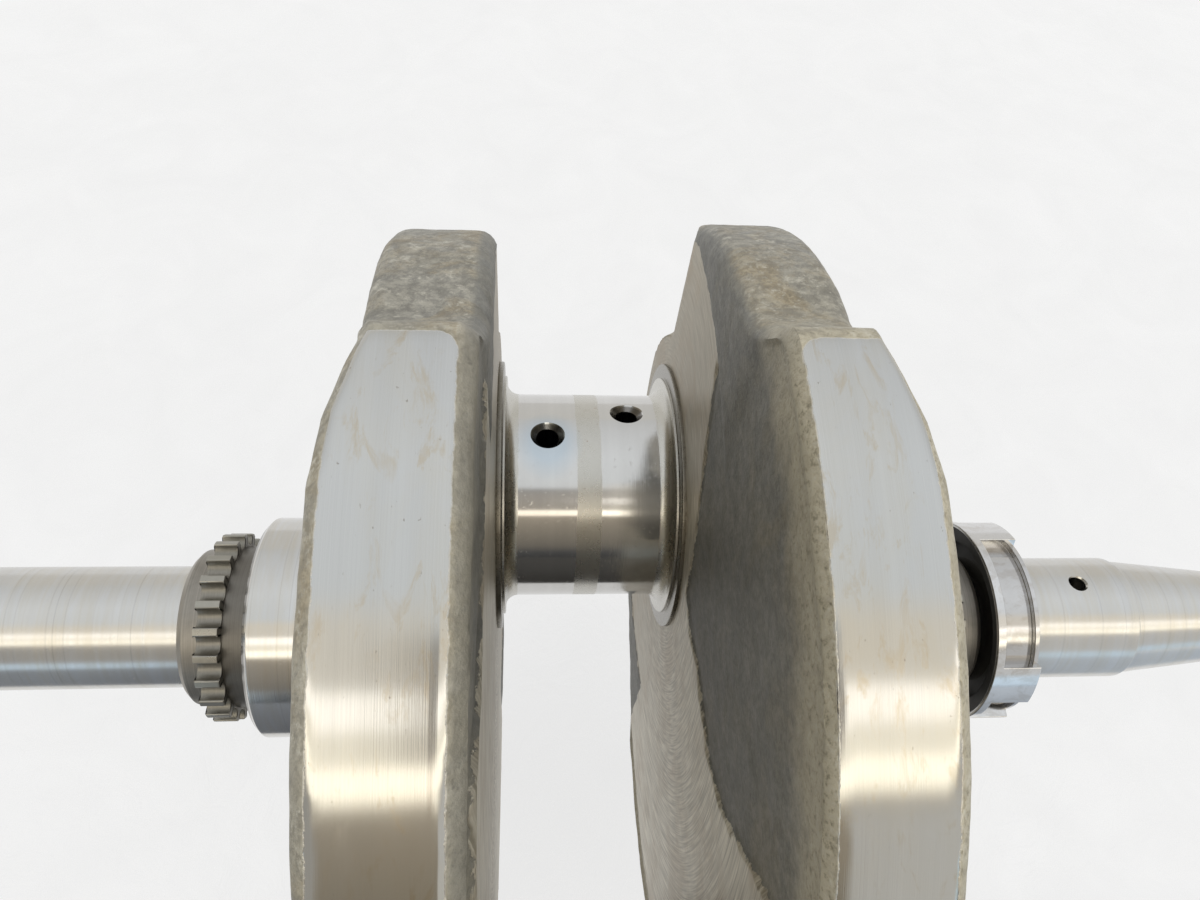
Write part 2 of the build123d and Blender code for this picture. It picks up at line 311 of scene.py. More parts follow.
def ground_steel(name, shade, gloss):
    """Ground steel: fine lines round the shaft, faint bands, hazy patches and a few spots."""
    steel = Finish(name, Metallic=1.0)
    lines = steel.rings(0.22, 4.0) * 0.6 + steel.noise((0.12, 14.0, 14.0), 2.0) * 0.4
    bands = steel.rings(3.5, 2.0)
    haze = steel.noise(16.0, 4.0, 0.6)
    spots = (steel.noise(1.5, 3.0, 0.7) - 0.74).step(0.04) * (haze - 0.52).step(0.2)
    dark = tuple(c * 0.80 for c in shade)
    color = steel.mixed((bands * 0.7 + haze * 0.6 - 0.2).clamped(), dark, shade)
    color = steel.mixed(spots * 0.7, color, (0.20, 0.13, 0.08))
    roughness = (haze - 0.5) * 0.10 + (lines - 0.5) * 0.14 + gloss + spots * 0.3
    return steel, color, roughness, lines


pin_end = -BOSS_FACE - PIN_SEATING
pin_outline = eased([(pin_end, 0.0), (pin_end, BOSS_R), (-BOSS_FACE, BOSS_R),
                     (-BOSS_FACE, FLANGE_R), (-THRUST_FACE, FLANGE_R),
                     (-THRUST_FACE, PIN_R + PIN_FILLET)], PIN_CORNER)
for step in range(1, 13):
    lean = math.radians(90 * step / 12)
    pin_outline.append((-THRUST_FACE + PIN_FILLET * (1 - math.cos(lean)),
                        PIN_R + PIN_FILLET * (1 - math.sin(lean))))
pin_outline += [(x, PIN_R) for x in np.linspace(-PIN_LAND, 0.0, 9)[1:].tolist()]
pin_outline += [(-x, radius) for x, radius in reversed(pin_outline[:-1])]
pin_cutters = []
for x, turn in PIN_OIL_HOLES:
    out_y, out_z = around(1.0, turn)
    mouth = PIN_OIL_R + PIN_OIL_CHAMFER + 0.25
    hole = [(0.0, 0.0), (0.0, PIN_OIL_R), (PIN_R - PIN_OIL_CHAMFER, PIN_OIL_R),
            (PIN_R + 0.3, mouth), (PIN_R + CUT_PAST, mouth), (PIN_R + CUT_PAST, 0.0)]
    pin_cutters.append(drill((x, THROW, 0), (0, out_y, out_z), hole))
pin_mesh = drilled(turned(pin_outline, PIN_STEPS, THROW), pin_cutters)
crankpin = round_shading(piece("crankpin", pin_mesh, 20.0), THROW)

pin_steel, color, roughness, lines = ground_steel("crankpin_ground", (0.66, 0.65, 0.63), 0.11)
side = abs(pin_steel.x)
pin_depth = pin_steel.y - THROW
pin_radius = (pin_depth * pin_depth + pin_steel.z * pin_steel.z).root()
wander = (pin_steel.noise((0.8, 5.0, 5.0), 3.0) - 0.5) * 0.7
strip = (STRIP_HALF_WIDTH + wander - side).step(0.15)
fillet = (side + wander - PIN_LAND - 0.1).step(0.3)
soiled = pin_steel.noise(2.2, 5.0, 0.65)
matt = pin_steel.mixed(soiled, (0.50, 0.485, 0.435), (0.60, 0.585, 0.545))
rust = (pin_steel.noise(0.9, 4.0, 0.7, 0.0, 3.0) - 0.66).step(0.05) * (soiled - 0.48).step(0.2)
matt = pin_steel.mixed(rust * 0.55, matt, (0.26, 0.17, 0.09))
color = pin_steel.mixed(strip.most(fillet), color, matt)
# The low ring beyond the flange is coloured dark, in mottled tones.
boss = (pin_radius - FLANGE_R).step(0.3)
boss_band_tone = pin_steel.mixed(soiled, (0.13, 0.12, 0.10), (0.30, 0.28, 0.24))
color = pin_steel.mixed(boss, color, boss_band_tone)
left_y, left_z = around(PIN_R, PIN_OIL_HOLES[0][1])
halo_x = pin_steel.x - PIN_OIL_HOLES[0][0]
halo_y = pin_steel.y - (THROW + left_y) + 2.2
halo = (halo_x * halo_x + halo_y * halo_y * 0.8).root()
color = pin_steel.mixed((6.0 - halo).step(4.5) * 0.55, color, (0.40, 0.50, 0.58))
# Painted shade: the walls inside the drilled oil holes are painted near black.
hole_shade = (PIN_R - 0.25 - pin_radius).step(0.3) * (THRUST_FACE - side).step(0.1)
color = pin_steel.mixed(hole_shade * 0.72, color, (0.10, 0.09, 0.08))
roughness = pin_steel.blend(strip.most(fillet), roughness, 0.22 + soiled * 0.12) + hole_shade * 0.15
height = lines * 0.5 + strip.most(fillet) * soiled * 0.5 - rust * 0.8
dress(crankpin, pin_steel.set(color, roughness, None, height, 0.010))
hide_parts("crank_forging")

# ---- Flywheel webs ----
# Each web is drop forged in one with the pin. The rim of its counterweight is turned bright,
# the inner face is milled flat round the pin wherever the forging stood proud, and the rest
# keeps its grey-brown forged skin. The narrower nose reaches out past the pin and is bevelled.
MILLED_R = 69.0
MILLED_REACH = 92.5
MILLED_DEPTH = 0.5
WELL_INSIDE = 40.0
FLAT_R = 62.0
RIM_R = 103.7
RIM_CORNER = 3.7
NOSE_CORNER = 4.0
SHOULDER_TURN = 12.0
SHOULDER_SAG = 2.2
SHOULDER_DROOP = ((60, 0.0), (78, 0.6), (86, 2.4), (91, 4.4), (94, 2.8), (98, 1.0), (103, 0.0))
NOSE_BEVEL_Y = 57.0
NOSE_BEVEL_RATE = 0.32
NOSE_BOSS_R = 40.0
RIM_END_Y = 0.4
SIDE_RING_R = 31.0
SIDE_RING_STEP = 0.8
WEB_STEPS = 540
TRAP_THREAD_R = 8.0
TRAP_THREAD_DEPTH = 9.0
TRAP_CHAMFER = 0.9
RUNNING_CLEARANCE = 0.02
WEBS = {
    "left_web": dict(side=-1, inner=20.3, slope=0.7, rim_start=23.6, rim_stop=39.4,
                     outer=41.8, nose_r=87.3, seed=4.0,
                     skin_line=((-80, 92), (-60, 78), (-40, 70), (-20, 74), (0, 80), (20, 90))),
    "right_web": dict(side=1, inner=20.0, slope=0.5, rim_start=21.7, rim_stop=36.9,
                      outer=39.6, nose_r=90.0, seed=11.0,
                      skin_line=((-75, 66), (-65, 52), (-58, 42), (-47, 27), (-38, 21), (-25, 19),
                                 (-19, 20), (-11, 16), (0, 16), (4, 30), (18, 55), (26, 75))),
}


def smooth(value, low, high):
    """0 below low and 1 above high, with a soft run between them."""
    t = np.clip((value - low) / (high - low), 0.0, 1.0)
    return t * t * (3 - 2 * t)


def web_reach(nose_r):
    """Radius of a web's outline by angle from the nose, with its shoulders rounded."""
    rim_top = Vector((RIM_END_Y, math.sqrt(RIM_R**2 - RIM_END_Y**2)))
    foot = Vector(around(nose_r - 0.5, SHOULDER_TURN))
    across = foot - rim_top
    hollow = Vector((across.y, -across.x)).normalized() * SHOULDER_SAG
    turns = np.linspace(0.0, 180.0, 721)
    run = [rim_top.lerp(foot, t) + hollow * 4 * t * (1 - t) for t in np.linspace(0, 1, 30)]
    at = [math.degrees(math.atan2(point.y, point.x)) for point in reversed(run)]
    reach = np.interp(turns, at, [point.length for point in reversed(run)],
                      left=nose_r, right=RIM_R)
    soft = np.exp(-0.5 * (np.arange(-12, 13) / 4.5) ** 2)
    padded = np.concatenate([np.full(12, reach[0]), reach, np.full(12, reach[-1])])
    return turns, np.convolve(padded, soft / soft.sum(), "valid")


def lumps(xs, ys, zs, size, rough, octaves):
    """Noise about zero at many places, with lumps as large as the size given."""
    return np.array([noise.fractal(Vector(place) / size, rough, 2.0, octaves)
                     for place in zip(xs.tolist(), ys.tolist(), zs.tolist())])


def web_mesh(side, inner, slope, rim_start, rim_stop, outer, nose_r, seed, skin_line):
    """One web: a dense spun disc, drawn in to the nose and given its forged relief."""
    face_r = RIM_R - RIM_CORNER
    outline = [(inner, r) for r in (0.0, 4.0, 8.0)]
    outline += [(inner + slope * max(0.0, (r - FLAT_R) / (face_r - FLAT_R)), r)
                for r in np.linspace(10.0, face_r, 84).tolist()]
    outline += [(inner + slope + (rim_start - inner - slope) * t * t, face_r + RIM_CORNER * t)
                for t in (0.2, 0.4, 0.6, 0.8)]
    outline += [(x, RIM_R) for x in np.linspace(rim_start, rim_stop, 15).tolist()]
    outline += [(outer + (rim_stop - outer) * t * t, face_r + RIM_CORNER * t) for t in (0.8, 0.6, 0.4, 0.2)]
    outline += [(outer, r) for r in np.linspace(face_r, SIDE_RING_R + 0.6, 36).tolist()]
    outline += [(outer + 0.4, SIDE_RING_R + 0.2), (outer + SIDE_RING_STEP, SIDE_RING_R - 0.2)]
    outline += [(outer + SIDE_RING_STEP, r) for r in (28.0, 20.0, 0.0)]
    bm = turned([(x * side, r) for x, r in outline], WEB_STEPS)
    co = np.array([vert.co for vert in bm.verts]) / MM
    x, y, z = np.abs(co[:, 0]), co[:, 1], co[:, 2]
    r = np.hypot(y, z)
    turn = np.degrees(np.arctan2(np.abs(z), y))
    reach = np.interp(turn, *web_reach(nose_r))
    weight = smooth(turn, 90 - SHOULDER_TURN + 2, 90.0)
    corner = NOSE_CORNER + (RIM_CORNER - NOSE_CORNER) * weight
    drawn = np.where(r < FLAT_R, r, FLAT_R + (r - FLAT_R) * (reach - corner - FLAT_R) / (face_r - FLAT_R))
    lift = np.clip((r - face_r) / RIM_CORNER, 0.0, 1.0)
    arc = lift * math.pi / 2
    across = np.clip((x - rim_start) / (rim_stop - rim_start), 0.0, 1.0)
    nose_x = np.where(x < rim_start, inner + NOSE_CORNER * (1 - np.cos(arc)),
                      np.where(x > rim_stop, outer - NOSE_CORNER * (1 - np.cos(arc)),
                               inner + NOSE_CORNER + across * (outer - inner - 2 * NOSE_CORNER)))
    on_edge = r > face_r - 1e-4
    edge_r = reach - corner + np.where(on_edge, (NOSE_CORNER * np.sin(arc)) * (1 - weight)
                                       + RIM_CORNER * lift * weight, 0.0)
    new_r = np.where(on_edge, edge_r, drawn)
    face_x = np.where(x < (inner + outer) / 2, inner + (x - inner) * weight, x)
    new_x = np.where(on_edge, nose_x + (x - nose_x) * weight, face_x)
    safe = np.where(r > 1e-6, r, 1.0)
    y, z = y / safe * new_r, z / safe * new_r

    droop = np.interp(turn, *zip(*SHOULDER_DROOP))
    near_rim = smooth(new_r, face_r - 22.0, reach - 1.0) * smooth(new_x, inner + 6.0, outer)
    new_x = new_x - droop * near_rim

    from_pin = np.hypot(y - THROW, z)
    limit = np.interp(y, *zip(*skin_line))
    past = np.where(y > skin_line[-1][0], WELL_INSIDE, limit - z)
    milled = np.minimum(past, np.where(y > 6.0, MILLED_R - from_pin, WELL_INSIDE))
    milled = np.minimum(milled, MILLED_REACH - new_r + np.where(y > 20, 20.0, 0.0))
    on_inner = (~on_edge) & (new_x < (inner + outer) / 2)
    ragged = lumps(y, z, np.full_like(y, seed), 5.0, 1.0, 3)
    milled = np.where(on_inner, milled, -8.0)
    bare = smooth(milled + ragged * 2.0, -0.6, 0.6)

    broad = lumps(new_x + seed * 9, y, z, 17.0, 0.9, 3)
    fine = lumps(new_x, y + seed * 9, z, 3.4, 0.9, 2)
    skin = 0.26 + broad * 0.22 + fine * 0.085
    proud = smooth(from_pin, MILLED_R - 2, MILLED_R + 1) * smooth(y, 2.0, 10.0)
    skin_x = face_x + (1 - proud) * (MILLED_DEPTH + 0.15) + skin
    plane_x = inner + MILLED_DEPTH
    new_x = np.where(on_inner, skin_x * (1 - bare) + plane_x * bare, new_x)
    off_boss = smooth(from_pin, NOSE_BOSS_R - 0.3, NOSE_BOSS_R + 1.2)
    lean = NOSE_BEVEL_RATE * np.maximum(y - NOSE_BEVEL_Y, 0.0) * off_boss
    new_x = np.where(new_x < (inner + outer) / 2, np.maximum(new_x, inner + lean + 0.02), new_x)

    turned_rim = smooth(np.minimum(x - rim_start, rim_stop - x), -0.5, 0.8) * smooth(-y, 1.0, 4.0) * on_edge
    worked = np.where(new_r < SIDE_RING_R + 1.0, 1.0, turned_rim)
    relief = np.where(on_inner, 0.0, np.clip(skin, 0.02, 0.8) * (1 - worked))
    co = np.stack([new_x * side, y, z], axis=1) * MM
    for vert, place in zip(bm.verts, co.tolist()):
        vert.co = place
    bmesh.ops.recalc_face_normals(bm, faces=bm.faces)
    bm.normal_update()
    mark = bm.verts.layers.float.new("milled")
    for vert, depth, edge in zip(bm.verts, relief.tolist(), milled.tolist()):
        vert.co = vert.co - vert.normal * depth * MM
        vert.co.y = min(vert.co.y, (nose_r - 0.05) * MM)
        vert[mark] = max(-8.0, min(8.0, edge))
    return bm


def web_finish(name, side, rim_start, rim_stop, seed):
    """Forged skin, turned rim and milled face in one material, split by where they lie."""
    steel = Finish(name)
    x_out = steel.x * float(side)
    broad = steel.noise(30.0, 3.0, 0.55, 0.6, seed)
    patch = steel.noise(6.0, 6.0, 0.66, 0.3, seed + 2)
    grain = steel.noise(0.9, 4.0, 0.70, 0.0, seed + 5)
    pits = steel.noise(0.40, 2.0, 0.6, 0.0, seed + 7)
    ochre = (steel.noise(13.0, 5.0, 0.7, 0.8, seed + 9) - 0.54).step(0.16)
    pale = (steel.noise(3.0, 5.0, 0.7, 0.0, seed + 12) * 0.5 + grain * 0.5 - 0.58).step(0.12)

    fibres = steel.noise((0.6, 9.0, 0.7), 4.0, 0.65, 0.4, seed + 14)
    on_face = (x_out * -1.0 + rim_start - 0.2).step(1.2)
    skin = steel.mixed((patch - 0.5).step(0.5), (0.135, 0.132, 0.120), (0.265, 0.260, 0.238))
    skin = steel.mixed((broad - 0.48).step(0.3) * 0.50, skin, (0.205, 0.185, 0.135))
    skin = steel.mixed(ochre * 0.45, skin, (0.250, 0.185, 0.085))
    face_skin = steel.mixed((patch - 0.5).step(0.6), (0.120, 0.120, 0.113), (0.215, 0.213, 0.195))
    face_skin = steel.mixed((fibres - 0.5).step(0.4) * 0.55, face_skin, (0.095, 0.093, 0.085))
    face_skin = steel.mixed(ochre * 0.20, face_skin, (0.210, 0.185, 0.120))
    near_rim = (steel.radius + (patch - 0.5) * 14.0 - RIM_R + 13.0).step(9.0) * (6.0 - steel.y).step(30.0)
    tan = steel.mixed((grain - 0.5).step(0.4), (0.17, 0.15, 0.10), (0.64, 0.58, 0.44))
    skin = steel.mixed(on_face, skin, face_skin)
    skin = steel.mixed(near_rim * (0.60 + 0.30 * side), skin, tan)
    mottle = steel.noise(2.2, 4.0, 0.75, 0.3, seed + 16)
    skin = steel.mixed((mottle - 0.54).step(0.14) * 0.30 * (1 - on_face * 0.6), skin, (0.085, 0.080, 0.068))
    skin = steel.mixed((0.46 - mottle).step(0.14) * 0.26 * (1 - on_face * 0.6), skin, (0.42, 0.40, 0.33))
    skin = steel.mixed((grain - 0.55).step(0.15) * 0.40, skin, (0.080, 0.076, 0.066))
    skin = steel.mixed(pale * 0.55 * (1 - on_face * 0.8), skin, (0.52, 0.50, 0.43))
    skin_rough = 0.46 + grain * 0.18

    rim_lines = steel.rings(0.16, 4.0) * 0.55 + steel.noise((0.10, 30.0, 30.0), 3.0) * 0.45
    rim_bands = steel.rings(2.6, 3.0)
    stain = (steel.noise((3.2, 9.0, 9.0), 5.0, 0.7, 0.8, seed + 20) - 0.60).step(0.12)
    smear = steel.noise((11.0, 26.0, 26.0), 5.0, 0.62, 0.6, seed + 23)
    flecks = (steel.noise((0.7, 1.6, 1.6), 3.0, 0.7, 0.0, seed + 26) - 0.71).step(0.03)
    rim = steel.mixed(rim_bands, (0.50, 0.50, 0.485), (0.58, 0.58, 0.565))
    rim = steel.mixed((smear - 0.54).step(0.2) * 0.30, rim, (0.55, 0.51, 0.42))
    # Painted reflection: the turned rim is lightened to a warm tone towards its low front end, for the warm
    # light it mirrors there.
    lower_rim_sheen = (-60.0 - steel.y).step(50.0)
    rim = steel.mixed(lower_rim_sheen * 0.5, rim, (0.60, 0.55, 0.44))
    rim = steel.mixed(stain * (smear - 0.46).step(0.2) * 0.50, rim, (0.47, 0.39, 0.26))
    rim = steel.mixed(flecks * 0.6, rim, (0.22, 0.19, 0.15))
    rim = steel.mixed((rim_lines - 0.5).step(0.3) * 0.12, rim, (0.30, 0.29, 0.28))
    rim_rough = 0.13 + (rim_lines - 0.5) * 0.12 + stain * 0.04 + (smear - 0.5) * 0.03

    across = steel.node("ShaderNodeMath", {"operation": "ARCTAN2"}, [steel.y - THROW, steel.z])
    from_pin = ((steel.y - THROW) * (steel.y - THROW) + steel.z * steel.z).root()
    sweep = steel.node("ShaderNodeCombineXYZ", {}, [from_pin / 0.45 + across * 3.0, across * 6.0, 0.0])
    cuts = steel.node("ShaderNodeTexNoise", {}, {"Vector": sweep, "Scale": 1.0, "Detail": 3.0})
    feed = steel.rings(2.4, 2.0, from_pin)
    face = steel.mixed((cuts - 0.5).step(0.30), (0.34, 0.31, 0.245), (0.72, 0.68, 0.58))
    high_up = (steel.y - 12.0).step(40.0)
    face = steel.mixed(high_up * 0.62, face, (0.235, 0.200, 0.140))
    face = steel.mixed(ochre * 0.35, face, (0.30, 0.22, 0.13))
    face_rough = 0.36 + cuts * 0.14

    ragged = (steel.noise(2.6, 5.0, 0.7, 0.2, seed + 30) - 0.5) * 3.4
    short_x = (3.4 - (x_out - rim_start).least(rim_stop - x_out)).most(0.0)
    short_y = (3.4 - (steel.y * -1.0 - 2.4)).most(0.0)
    edge = 3.4 - (short_x * short_x + short_y * short_y).root()
    edge = edge.least((steel.radius - RIM_R + 0.55) * 6.0)
    rim_mask = (edge + ragged * 0.28 - 0.10).step(0.24)
    mark = steel.node("ShaderNodeAttribute", {"attribute_name": "milled"}, {}, output="Fac")
    mill_mask = (mark + ragged * 1.5).step(0.30)
    ring_mask = (SIDE_RING_R - steel.radius).step(0.3) * (x_out - rim_stop).step(0.3)

    color = steel.mixed(mill_mask, skin, face)
    color = steel.mixed(rim_mask.most(ring_mask), color, rim)
    roughness = steel.blend(mill_mask, skin_rough, face_rough)
    roughness = steel.blend(rim_mask.most(ring_mask), roughness, rim_rough)
    cut = mill_mask.most(rim_mask).most(ring_mask)
    metallic = 0.45 + cut * 0.55 - mill_mask * 0.30
    rough_height = grain * 0.7 + pits * 0.3 + patch * 0.9
    tool_height = rim_lines * 0.05 + cuts * mill_mask * 0.22 + feed * mill_mask * 0.1
    height = steel.blend(cut, rough_height, tool_height)
    return steel.set(color, roughness, metallic, height + cut * 0.25, 0.16)


for name, web in WEBS.items():
    blank = web_mesh(**web)
    flat = web["outer"] * web["side"]
    bore_r = TRAP_THREAD_R - RUNNING_CLEARANCE
    mouth_r = TRAP_THREAD_R + TRAP_CHAMFER
    pocket_end = TRAP_THREAD_DEPTH + CUT_PAST
    pocket = [(0.0, 0.0), (0.0, bore_r), (TRAP_THREAD_DEPTH - 0.5, bore_r),
              (TRAP_THREAD_DEPTH + 0.8, mouth_r), (pocket_end, mouth_r), (pocket_end, 0.0)]
    start = (flat - TRAP_THREAD_DEPTH * web["side"], THROW, 0)
    blank = drilled(blank, [drill(start, (web["side"], 0, 0), pocket, 64)])
    made = piece(name, blank, 50.0, False)
    skin = web_finish(name + "_steel", web["side"], web["rim_start"], web["rim_stop"], web["seed"])
    dress(made, skin)
    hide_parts("crank_forging")

# ---- Left shaft ----
# Main journal, sprocket seat, long plain drive shaft and keyed seat, forged in one with the web
# and ground in one setting. A slanting oil way comes out on the journal's side away from the pin.
LEFT_ROOT_X = 38.0
SHAFT_STEPS = 160
TURNED_CORNER = 0.18
JOURNAL_R = 24.0
JOURNAL_END = 70.6
JOURNAL_CHAMFER = 1.2
SEAT_R = 14.5
LEFT_SHAFT_R = 13.2
LEFT_SEAT_END = 85.2
LEFT_SHAFT_END = 146.0
LEFT_SHAFT_CHAMFER = 0.8
DRIVE_SEAT_R = 11.4
DRIVE_SEAT_END = 164.0
DRIVE_SEAT_CHAMFER = 0.6
DRIVE_KEY_X = 155.0
KEY_R = 6.5
KEY_WIDTH = 4.0
KEY_RISE = 1.6
DRIVE_THREAD_R = 9.0
DRIVE_THREAD_END = 180.0
THREAD_RELIEF = 1.0
RELIEF_WIDTH = 1.6
FEED_R = 2.3
FEED_TURN = -115.0
FEED_MOUTH_X = 22.0
FEED_LENGTH = 16.0
FEED_CHAMFER = 1.6


relief_r = DRIVE_THREAD_R - THREAD_RELIEF
left_outline = [(LEFT_ROOT_X, 0.0), (LEFT_ROOT_X, JOURNAL_R), (JOURNAL_END - JOURNAL_CHAMFER, JOURNAL_R),
                (JOURNAL_END, JOURNAL_R - JOURNAL_CHAMFER), (JOURNAL_END, SEAT_R),
                (LEFT_SEAT_END, SEAT_R), (LEFT_SEAT_END, LEFT_SHAFT_R),
                (LEFT_SHAFT_END - LEFT_SHAFT_CHAMFER, LEFT_SHAFT_R),
                (LEFT_SHAFT_END, LEFT_SHAFT_R - LEFT_SHAFT_CHAMFER), (LEFT_SHAFT_END, DRIVE_SEAT_R),
                (DRIVE_SEAT_END - DRIVE_SEAT_CHAMFER, DRIVE_SEAT_R),
                (DRIVE_SEAT_END, DRIVE_SEAT_R - DRIVE_SEAT_CHAMFER),
                (DRIVE_SEAT_END, relief_r), (DRIVE_SEAT_END + RELIEF_WIDTH, relief_r)]
left_outline = [(-x, radius) for x, radius in eased(left_outline, TURNED_CORNER)]
left_outline += [(-DRIVE_SEAT_END - RELIEF_WIDTH, 0.0)]


def feed_cutter(side, outer):
    """The slanting oil way, from the far side of a main journal towards the pin."""
    inside = Vector((outer - 13.0, THROW, 0.0))
    mouth = Vector((outer + FEED_MOUTH_X, *around(JOURNAL_R + 1, FEED_TURN)))
    along = (mouth - inside).normalized()
    start = mouth - along * FEED_LENGTH
    end = FEED_LENGTH + 1.5
    way = [(0.0, 0.0), (0.0, FEED_R), (FEED_LENGTH - 2.0, FEED_R), (end, FEED_R + FEED_CHAMFER), (end, 0.0)]
    return drill((start.x * side, start.y, start.z), (along.x * side, along.y, along.z), way, 40)


def key_slot(x, surface_r):
    """Cutter for the half-moon key's slot, in the underside of the shaft."""
    bm = bmesh.new()
    bmesh.ops.create_cone(bm, cap_ends=True, segments=96, radius1=KEY_R * MM, radius2=KEY_R * MM,
                          depth=KEY_WIDTH * MM,
                          matrix=Matrix.Translation((x * MM, 0, -(surface_r + KEY_RISE) * MM))
                          @ Matrix.Rotation(math.pi / 2, 4, "X"))
    return bm


left_cutters = [feed_cutter(-1, WEBS["left_web"]["outer"]), key_slot(-DRIVE_KEY_X, DRIVE_SEAT_R)]
left_shaft = drilled(turned(left_outline, SHAFT_STEPS), left_cutters)
left_shaft = round_shading(piece("left_shaft", left_shaft, 20.0))


def shaft_finish(name, journal_side):
    """Ground steel, bright on the journal and a little duller along the shaft."""
    steel, color, roughness, lines = ground_steel(name, (0.66, 0.655, 0.64), 0.14)
    out = steel.x * float(journal_side)
    journal = (JOURNAL_END - out).step(0.6)
    worn = steel.noise((2.0, 18.0, 18.0), 4.0, 0.6, 0.5, 6.0)
    ridges = steel.rings(0.7, 5.0)
    color = steel.mixed((worn - 0.5).step(0.3) * 0.35, color, (0.55, 0.50, 0.40))
    color = steel.mixed((ridges - 0.62).step(0.1) * 0.25, color, (0.30, 0.29, 0.28))
    roughness = roughness + (1 - journal) * 0.07 + (worn - 0.5) * 0.08
    # Painted shade: surfaces sunk below the journal's face, inside the oil way and at the journal's
    # chamfered end, are darkened.
    inside = (JOURNAL_R - 0.5 - steel.radius).step(0.2) * journal * (out - 44.0).step(0.5)
    color = steel.mixed(inside * 0.6, color, (0.12, 0.11, 0.10))
    return steel.set(color, roughness, None, lines * 0.6 + ridges * 0.25, 0.010)


dress(left_shaft, shaft_finish("left_shaft_ground", -1))
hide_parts("crank_forging")

# ---- Drive thread ----
# The outer end of the left shaft carries a rolled M18 thread for the primary nut. It is part
# of the forging, runs out in a relief beside the keyed seat, and its end is chamfered.
THREAD_PITCH = 1.5
THREAD_DEPTH = 0.85
THREAD_FORM = ((0.0, 0.0), (0.10, 0.0), (0.65, THREAD_DEPTH), (0.85, THREAD_DEPTH), (1.40, 0.0))
THREAD_CORE_R = 8.14
THREAD_STEPS = 96
thread_start = -DRIVE_THREAD_END
thread_turns = int((DRIVE_THREAD_END - DRIVE_SEAT_END - 1.0) / THREAD_PITCH)
thread_outline = []
for turn in range(thread_turns + 1):
    crest = thread_start + turn * THREAD_PITCH
    for offset, depth in THREAD_FORM:
        thread_outline.append((crest + offset, DRIVE_THREAD_R - RUNNING_CLEARANCE - depth))
bm = turned(thread_outline, THREAD_STEPS, 0.0, THREAD_PITCH)
for vert in bm.verts:
    x, r = vert.co.x / MM, math.hypot(vert.co.y, vert.co.z) / MM
    runout = min(1.0, max(0.0, (x + DRIVE_THREAD_END) / 1.4))
    allowed = relief_r + runout * THREAD_RELIEF
    if r > allowed:
        vert.co.y *= allowed / r
        vert.co.z *= allowed / r
    vert.co.x = min(max(x, -DRIVE_THREAD_END + 0.02), -DRIVE_SEAT_END - 0.05) * MM
core = [(-DRIVE_THREAD_END, 0.0), (-DRIVE_THREAD_END, 7.95), (-DRIVE_THREAD_END + 0.25, THREAD_CORE_R),
        (-DRIVE_SEAT_END + 0.5, THREAD_CORE_R), (-DRIVE_SEAT_END + 0.5, 0.0)]


def joined(*blanks):
    """One bmesh that holds all the blanks given."""
    whole = bmesh.new()
    for blank in blanks:
        mesh = bpy.data.meshes.new("blank")
        blank.to_mesh(mesh)
        blank.free()
        whole.from_mesh(mesh)
        bpy.data.meshes.remove(mesh)
    return whole


drive_thread = piece("drive_thread", joined(bm, turned(core, THREAD_STEPS)), 25.0)
thread_steel, color, roughness, lines = ground_steel("drive_thread_steel", (0.52, 0.51, 0.49), 0.24)
valley = (DRIVE_THREAD_R - 0.45 - thread_steel.radius).step(0.5)
color = thread_steel.mixed(valley * 0.6, color, (0.16, 0.145, 0.12))
dress(drive_thread, thread_steel.set(color, roughness + valley * 0.2, None, lines, 0.01))
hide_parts("crank_forging")

# ---- Right shaft ----
# Main journal, seat for the sprocket and trigger ring, clip groove, short parallel shaft with
# an oil hole, and the generator taper with a tapped hole in its end. Ground all over.
RIGHT_ROOT_X = 36.0
RING_START = 86.7
RING_STOP = 97.1
CLIP_STOP = 98.6
RIGHT_SHAFT_R = 14.15
TAPER_START = 125.5
TAPER_END = 162.5
TAPER_R = 13.5
TAPER_RATE = 0.1
SMALL_R = TAPER_R - TAPER_RATE * (TAPER_END - TAPER_START)
ROTOR_BOLT_R = 5.1
ROTOR_BOLT_DEPTH = 24.0
BOLT_PITCH = 1.75
BOLT_TURNS = 13
BOLT_FORM = ((0.0, 0.0), (0.75, 0.75), (0.95, 0.75))
ROTOR_KEY_X = 143.0
CLIP_GROOVE = 1.0
SHAFT_OIL_X = 113.1
SHAFT_OIL_TURN = 10.0
SHAFT_OIL_R = 1.9

right_outline = [(RIGHT_ROOT_X, 0.0), (RIGHT_ROOT_X, JOURNAL_R), (JOURNAL_END - JOURNAL_CHAMFER, JOURNAL_R),
                 (JOURNAL_END, JOURNAL_R - JOURNAL_CHAMFER), (JOURNAL_END, SEAT_R),
                 (RING_STOP, SEAT_R), (RING_STOP, SEAT_R - CLIP_GROOVE),
                 (CLIP_STOP, SEAT_R - CLIP_GROOVE), (CLIP_STOP, RIGHT_SHAFT_R),
                 (TAPER_START, RIGHT_SHAFT_R), (TAPER_START + 0.4, TAPER_R),
                 (TAPER_END - 1.0, SMALL_R + TAPER_RATE), (TAPER_END, SMALL_R - 0.9),
                 (TAPER_END, ROTOR_BOLT_R + 0.8), (TAPER_END - 0.8, ROTOR_BOLT_R)]
right_outline = eased(right_outline, TURNED_CORNER)
for turn in range(BOLT_TURNS):
    crest = TAPER_END - 1.2 - turn * BOLT_PITCH
    right_outline += [(crest - back, ROTOR_BOLT_R + depth) for back, depth in BOLT_FORM]
right_outline += [(TAPER_END - ROTOR_BOLT_DEPTH, ROTOR_BOLT_R), (TAPER_END - ROTOR_BOLT_DEPTH, 0.0)]
oil_mouth = SHAFT_OIL_R + 0.6
